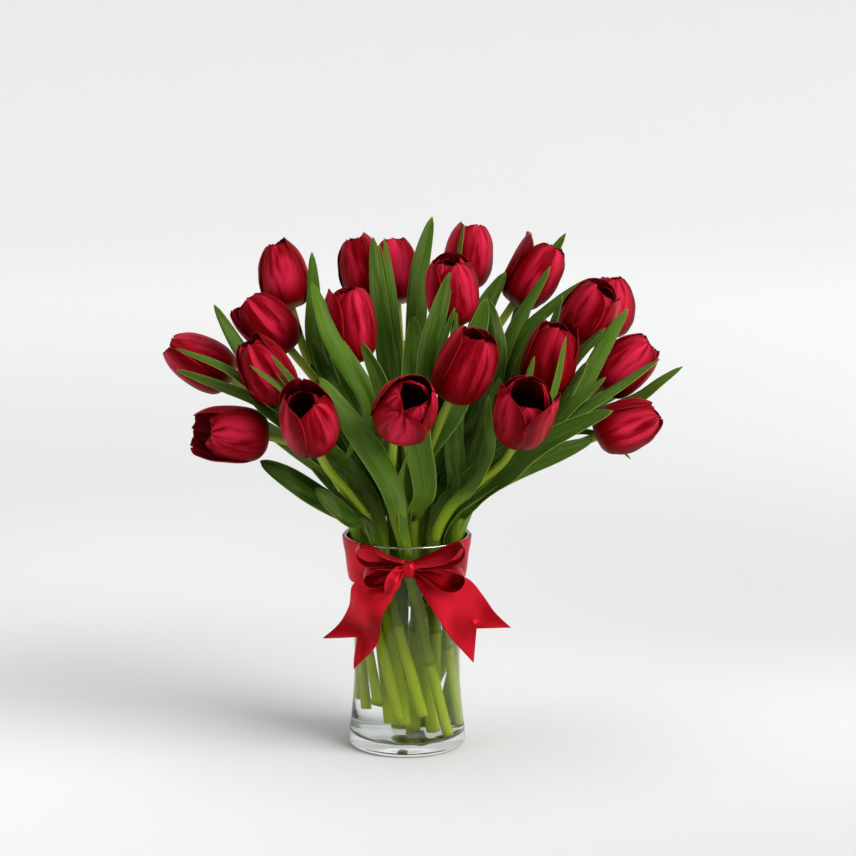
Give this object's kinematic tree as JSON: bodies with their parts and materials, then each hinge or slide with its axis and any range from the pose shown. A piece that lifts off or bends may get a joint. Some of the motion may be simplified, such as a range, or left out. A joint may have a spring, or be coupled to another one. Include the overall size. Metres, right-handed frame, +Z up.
{
  "type": "bouquet of cut tulips in a glass vase",
  "caption": "Bouquet of red tulips on long leafy stems, fanned out of a clear waisted glass vase of water with a satin ribbon bow at its neck.",
  "frame": {"origin": "The middle of the vase's underside, on the table.", "axes": "+Z runs up the vase's axis. The ribbon's bow faces -Y, and +X is to the right seen from there."},
  "size_m": [0.4354, 0.2514, 0.4494],
  "materials": {
    "vase": "clear pressed glass, smooth and bright",
    "water": "clear still water",
    "ribbon": "red satin, glossy on its face",
    "stem": "fresh green stem, smooth and slightly waxy",
    "bloom": "silky crimson petals",
    "leaf": "waxy green leaf with fine parallel veins"
  },
  "bodies": {
    "root": {"vase": "vase", "water": "water", "ribbon": "ribbon", "stem_01": "stem", "stem_02": "stem", "stem_03": "stem", "stem_04": "stem", "stem_05": "stem", "stem_06": "stem", "stem_07": "stem", "stem_08": "stem", "stem_09": "stem", "stem_10": "stem", "stem_11": "stem", "stem_12": "stem", "stem_13": "stem", "stem_14": "stem", "stem_15": "stem", "stem_16": "stem", "stem_17": "stem", "stem_18": "stem", "stem_19": "stem", "stem_20": "stem", "bloom_01": "bloom", "bloom_02": "bloom", "bloom_03": "bloom", "bloom_04": "bloom", "bloom_05": "bloom", "bloom_06": "bloom", "bloom_07": "bloom", "bloom_08": "bloom", "bloom_09": "bloom", "bloom_10": "bloom", "bloom_11": "bloom", "bloom_12": "bloom", "bloom_13": "bloom", "bloom_14": "bloom", "bloom_15": "bloom", "bloom_16": "bloom", "bloom_17": "bloom", "bloom_18": "bloom", "bloom_19": "bloom", "bloom_20": "bloom", "leaf_01": "leaf", "leaf_02": "leaf", "leaf_03": "leaf", "leaf_04": "leaf", "leaf_05": "leaf", "leaf_06": "leaf", "leaf_07": "leaf", "leaf_08": "leaf", "leaf_09": "leaf", "leaf_10": "leaf", "leaf_11": "leaf", "leaf_12": "leaf", "leaf_13": "leaf", "leaf_14": "leaf", "leaf_15": "leaf", "leaf_16": "leaf", "leaf_17": "leaf"}
  },
  "joints": []
}
